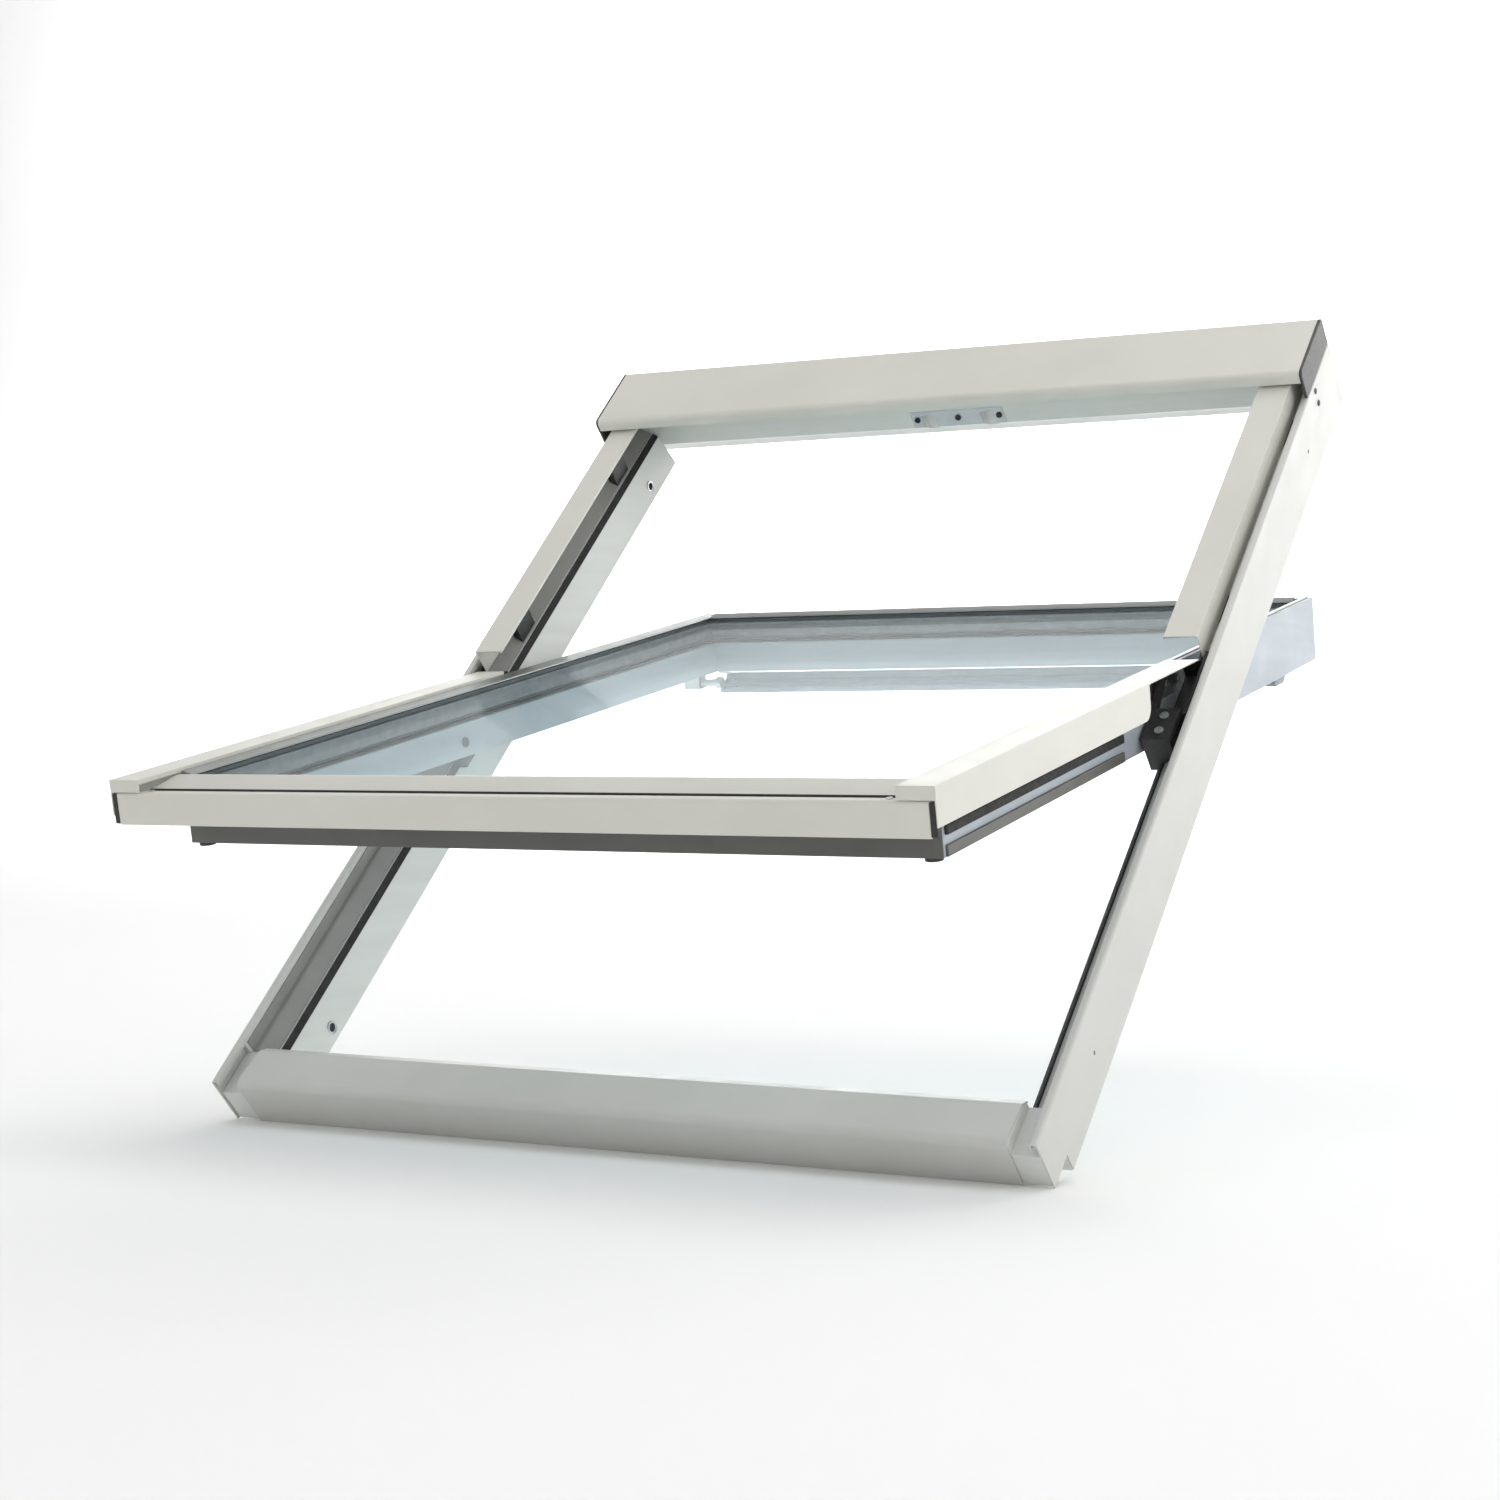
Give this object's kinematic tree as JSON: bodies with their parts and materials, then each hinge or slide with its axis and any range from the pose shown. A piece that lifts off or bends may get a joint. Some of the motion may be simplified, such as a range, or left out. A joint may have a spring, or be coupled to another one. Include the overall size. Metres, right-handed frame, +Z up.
{
  "type": "roof window",
  "caption": "Centre-pivot roof window: a tilted frame with pale metal covers and a glazed sash standing part open on friction hinges, with a pull bar and latch.",
  "frame": {"origin": "middle of the frame's lower front face, on the bottom cladding", "axes": "+X to the right as seen from outside, +Y horizontally into the roof, +Z up; the frame lies at 44 degrees to the floor"},
  "size_m": [0.7816, 0.9441, 0.736],
  "materials": {
    "painted_timber": "white lacquered pine",
    "sash_timber": "white lacquered pine",
    "cladding_aluminium": "satin lacquered aluminium",
    "dark_aluminium": "satin dark grey lacquer",
    "rubber": "matte",
    "cover_aluminium": "satin off-white lacquer",
    "cap_plastic": "matte",
    "black_plastic": "matte",
    "dark_screw": "blackened",
    "zinc_steel": "zinc plated",
    "glass": "clear, faint green edge",
    "spacer_aluminium": "satin",
    "profile_aluminium": "satin",
    "bar_aluminium": "satin"
  },
  "bodies": {
    "frame": {"frame_bottom_member": "painted_timber", "frame_top_member": "painted_timber", "frame_left_jamb": "painted_timber", "frame_right_jamb": "painted_timber", "bottom_cladding": "cladding_aluminium", "left_cladding": "cladding_aluminium", "right_cladding": "cladding_aluminium", "top_cladding": "cladding_aluminium", "left_gutter_rail": "cladding_aluminium", "right_gutter_rail": "cladding_aluminium", "left_frame_gasket": "rubber", "right_frame_gasket": "rubber", "top_frame_gasket": "rubber", "top_casing": "cover_aluminium", "left_casing_cap": "cap_plastic", "right_casing_cap": "cap_plastic", "casing_screws": "dark_screw", "left_upper_cover": "cover_aluminium", "right_upper_cover": "cover_aluminium", "cover_clips": "black_plastic", "left_hinge_housing": "black_plastic", "right_hinge_housing": "black_plastic", "frame_hinge_screws": "zinc_steel", "striker_plate": "zinc_steel", "striker_screws": "dark_screw", "bolt_bushes": "zinc_steel"},
    "sash": {"sash_bottom_member": "sash_timber", "sash_top_member": "sash_timber", "sash_left_stile": "sash_timber", "sash_right_stile": "sash_timber", "outer_pane": "glass", "inner_pane": "glass", "pane_spacer": "spacer_aluminium", "pane_bed": "rubber", "pane_gasket": "rubber", "left_glazing_profile": "profile_aluminium", "right_glazing_profile": "profile_aluminium", "top_glazing_profile": "profile_aluminium", "bottom_glazing_profile": "profile_aluminium", "sash_bottom_profile": "dark_aluminium", "bottom_cover": "cover_aluminium", "bottom_cover_screws": "zinc_steel", "corner_plugs": "black_plastic", "left_lower_cover": "cover_aluminium", "right_lower_cover": "cover_aluminium", "left_hinge_plate": "zinc_steel", "right_hinge_plate": "zinc_steel", "sash_hinge_screws": "zinc_steel", "left_pivot_pin": "zinc_steel", "right_pivot_pin": "zinc_steel", "friction_washers": "black_plastic", "latch_case": "zinc_steel", "left_bar_bracket": "zinc_steel", "right_bar_bracket": "zinc_steel", "bolt_guide": "zinc_steel"},
    "control_bar": {"control_bar": "bar_aluminium", "bar_end_levers": "bar_aluminium"},
    "latch_bolt": {"latch_bolt": "zinc_steel"},
    "barrel_bolt": {"barrel_bolt": "zinc_steel"}
  },
  "joints": [
    {"name": "sash_pivot", "type": "hinge", "parent": "frame", "child": "sash", "pos_m": [0, 0.33471, 0.37605], "axis": [-1, 0, 0], "range_deg": [-33, 127]},
    {"name": "control_bar_pull", "type": "hinge", "parent": "sash", "child": "control_bar", "pos_m": [0, 0.76938, 0.38821], "axis": [1, 0, 0], "range_deg": [0, 45]},
    {"name": "latch_slide", "type": "slide", "parent": "sash", "child": "latch_bolt", "axis": [0, 0.9816, 0.1908], "range_m": [-0.0081, 0]},
    {"name": "barrel_bolt_slide", "type": "slide", "parent": "sash", "child": "barrel_bolt", "axis": [-1, 0, 0], "range_m": [0, 0.014]}
  ],
  "couplings": [
    {"joint": "latch_slide", "follows": "control_bar_pull", "m_per_rad": -0.010186}
  ]
}
